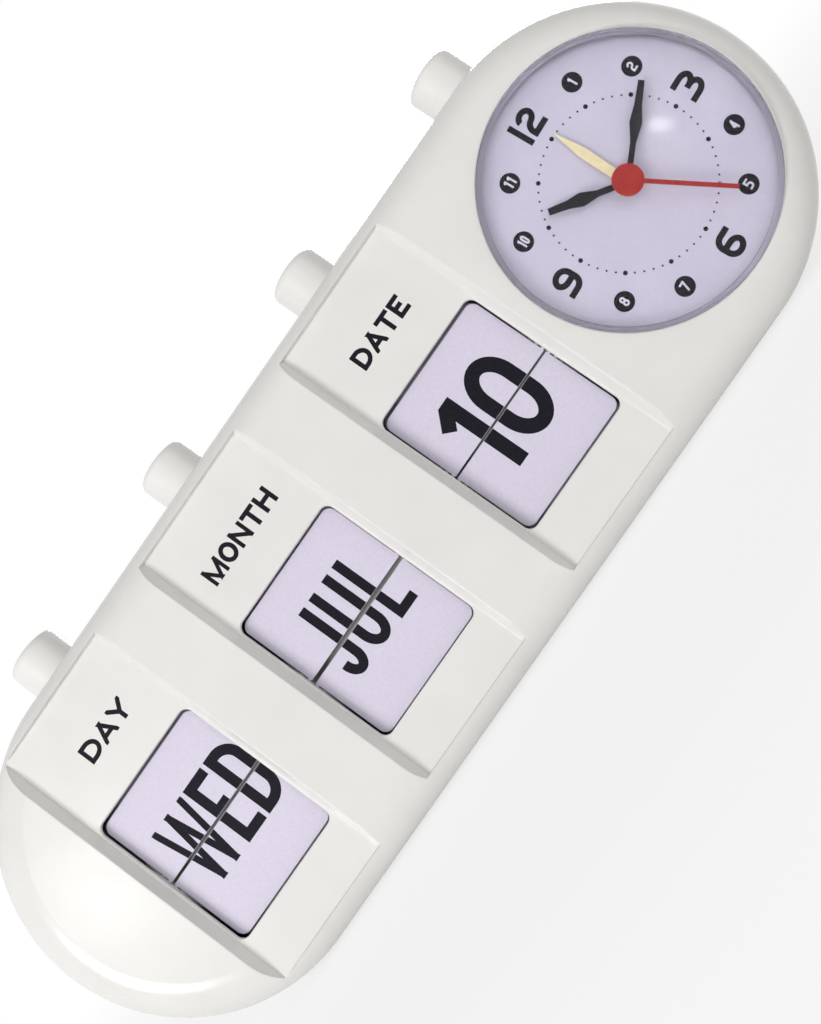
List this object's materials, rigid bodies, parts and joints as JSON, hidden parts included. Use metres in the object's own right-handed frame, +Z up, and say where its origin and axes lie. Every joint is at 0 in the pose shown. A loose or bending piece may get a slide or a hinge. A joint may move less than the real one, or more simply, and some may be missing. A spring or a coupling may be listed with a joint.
{
  "type": "calendar alarm clock",
  "caption": "Long pill-shaped desk clock that leans back: flip-card day, month and date windows with push buttons on top, and a round analogue alarm dial at one end.",
  "frame": {"origin": "on the surface that the feet stand on, under the middle of the case", "axes": "+X along the case towards the clock dial, +Y from the front to the back, +Z up"},
  "size_m": [0.24, 0.0634, 0.0902],
  "materials": {
    "case_plastic": "warm white moulded plastic with a soft gloss",
    "button_plastic": "white moulded plastic",
    "card": "pale lavender printed card",
    "dial": "pale lavender printed dial",
    "lens": "clear moulded lens",
    "hand_black": "black painted metal",
    "hand_red": "red painted metal",
    "hand_cream": "cream painted metal",
    "frame_plastic": "natural moulded plastic",
    "steel": "plain steel",
    "brass": "plain brass",
    "knob_black": "black ribbed plastic",
    "board": "green circuit board",
    "cell": "plain battery sleeve",
    "foot_rubber": "grey rubber"
  },
  "bodies": {
    "case": {"front_shell": "case_plastic", "back_shell": "case_plastic", "feet": "foot_rubber", "case_screws": "steel", "lens": "lens", "dial_plate": "dial", "movement_case": "frame_plastic", "movement_cover": "frame_plastic", "circuit_board": "board", "coil": "brass", "buzzer": "knob_black", "battery": "cell", "battery_tray": "frame_plastic", "battery_contacts": "steel", "alarm_switch": "knob_black", "alarm_button_spring": "steel", "day_frame": "frame_plastic", "day_button_spring": "steel", "month_frame": "frame_plastic", "month_button_spring": "steel", "date_frame": "frame_plastic", "date_button_spring": "steel"},
    "day_button": {"day_button": "button_plastic", "day_pawl": "steel"},
    "day_drum": {"day_drum": "frame_plastic", "day_ratchet": "brass", "day_axle": "steel", "day_leaf_pack": "card"},
    "day_flip_leaf": {"day_flip_leaf": "card"},
    "month_button": {"month_button": "button_plastic", "month_pawl": "steel"},
    "month_drum": {"month_drum": "frame_plastic", "month_ratchet": "brass", "month_axle": "steel", "month_leaf_pack": "card"},
    "month_flip_leaf": {"month_flip_leaf": "card"},
    "date_button": {"date_button": "button_plastic", "date_pawl": "steel"},
    "date_drum": {"date_drum": "frame_plastic", "date_ratchet": "brass", "date_axle": "steel", "date_leaf_pack": "card"},
    "date_flip_leaf": {"date_flip_leaf": "card"},
    "alarm_button": {"alarm_button": "button_plastic"},
    "minute_work": {"minute_hand": "hand_black", "minute_arbor": "steel", "time_set_knob": "knob_black"},
    "hour_work": {"hour_hand": "hand_black", "hour_wheel": "brass"},
    "idler": {"idler_wheel": "brass"},
    "second_work": {"second_hand": "hand_red", "second_arbor": "steel"},
    "alarm_setting": {"alarm_set_arbor": "steel", "alarm_set_knob": "knob_black"},
    "alarm_work": {"alarm_hand": "hand_cream", "alarm_wheel": "brass"},
    "battery_door": {"battery_door": "case_plastic"}
  },
  "joints": [
    {"name": "day_drum_turn", "type": "hinge", "parent": "case", "child": "day_drum", "pos_m": [-0.074, -0.01251, 0.03387], "axis": [1, 0, 0], "range_deg": [0, 12.86]},
    {"name": "day_button_press", "type": "slide", "parent": "case", "child": "day_button", "axis": [0, -0.2079, -0.9781], "range_m": [0, 0.0016], "stiffness_N_per_m": 400, "springref_m": -0.002, "deforming": ["day_button_spring"]},
    {"name": "day_leaf_fall", "type": "hinge", "parent": "day_drum", "child": "day_flip_leaf", "pos_m": [-0.074, -0.0201, 0.0364], "axis": [1, 0, 0], "range_deg": [0, 167.14]},
    {"name": "month_drum_turn", "type": "hinge", "parent": "case", "child": "month_drum", "pos_m": [-0.0224, -0.01251, 0.03387], "axis": [1, 0, 0], "range_deg": [0, 15]},
    {"name": "month_button_press", "type": "slide", "parent": "case", "child": "month_button", "axis": [0, -0.2079, -0.9781], "range_m": [0, 0.0016], "stiffness_N_per_m": 400, "springref_m": -0.002, "deforming": ["month_button_spring"]},
    {"name": "month_leaf_fall", "type": "hinge", "parent": "month_drum", "child": "month_flip_leaf", "pos_m": [-0.0224, -0.02005, 0.03654], "axis": [1, 0, 0], "range_deg": [0, 165]},
    {"name": "date_drum_turn", "type": "hinge", "parent": "case", "child": "date_drum", "pos_m": [0.0292, -0.01251, 0.03387], "axis": [1, 0, 0], "range_deg": [0, 11.61]},
    {"name": "date_button_press", "type": "slide", "parent": "case", "child": "date_button", "axis": [0, -0.2079, -0.9781], "range_m": [0, 0.0016], "stiffness_N_per_m": 400, "springref_m": -0.002, "deforming": ["date_button_spring"]},
    {"name": "date_leaf_fall", "type": "hinge", "parent": "date_drum", "child": "date_flip_leaf", "pos_m": [0.0292, -0.02013, 0.03631], "axis": [1, 0, 0], "range_deg": [0, 168.39]},
    {"name": "alarm_button_press", "type": "slide", "parent": "case", "child": "alarm_button", "axis": [0, -0.2079, -0.9781], "range_m": [0, 0.0016], "stiffness_N_per_m": 400, "springref_m": -0.002, "deforming": ["alarm_button_spring"]},
    {"name": "minute_hand_turn", "type": "hinge", "parent": "case", "child": "minute_work", "pos_m": [0.0822, -0.02038, 0.04106], "axis": [0, 0.9781, -0.2079], "continuous": true},
    {"name": "hour_hand_turn", "type": "hinge", "parent": "case", "child": "hour_work", "pos_m": [0.0822, -0.02038, 0.04106], "axis": [0, 0.9781, -0.2079], "continuous": true},
    {"name": "idler_turn", "type": "hinge", "parent": "case", "child": "idler", "pos_m": [0.0822, -0.01252, 0.0492], "axis": [0, 0.9781, -0.2079], "continuous": true},
    {"name": "second_hand_turn", "type": "hinge", "parent": "case", "child": "second_work", "pos_m": [0.0822, -0.02038, 0.04106], "axis": [0, 0.9781, -0.2079], "continuous": true},
    {"name": "alarm_knob_turn", "type": "hinge", "parent": "case", "child": "alarm_setting", "pos_m": [0.0702, -0.01452, 0.03982], "axis": [0, 0.9781, -0.2079], "continuous": true},
    {"name": "alarm_hand_turn", "type": "hinge", "parent": "case", "child": "alarm_work", "pos_m": [0.0822, -0.02038, 0.04106], "axis": [0, 0.9781, -0.2079], "continuous": true},
    {"name": "battery_door_pull", "type": "slide", "parent": "case", "child": "battery_door", "axis": [0, 0.9781, -0.2079], "range_m": [0, 0.02]}
  ],
  "couplings": [
    {"joint": "day_drum_turn", "follows": "day_button_press", "rad_per_m": 140.25},
    {"joint": "day_leaf_fall", "follows": "day_button_press", "rad_per_m": 1823.2},
    {"joint": "month_drum_turn", "follows": "month_button_press", "rad_per_m": 163.62},
    {"joint": "month_leaf_fall", "follows": "month_button_press", "rad_per_m": 1799.9},
    {"joint": "date_drum_turn", "follows": "date_button_press", "rad_per_m": 126.68},
    {"joint": "date_leaf_fall", "follows": "date_button_press", "rad_per_m": 1836.8},
    {"joint": "hour_hand_turn", "follows": "minute_hand_turn", "ratio": 0.083333},
    {"joint": "idler_turn", "follows": "minute_hand_turn", "ratio": -0.33333},
    {"joint": "alarm_hand_turn", "follows": "alarm_knob_turn", "ratio": -1}
  ]
}
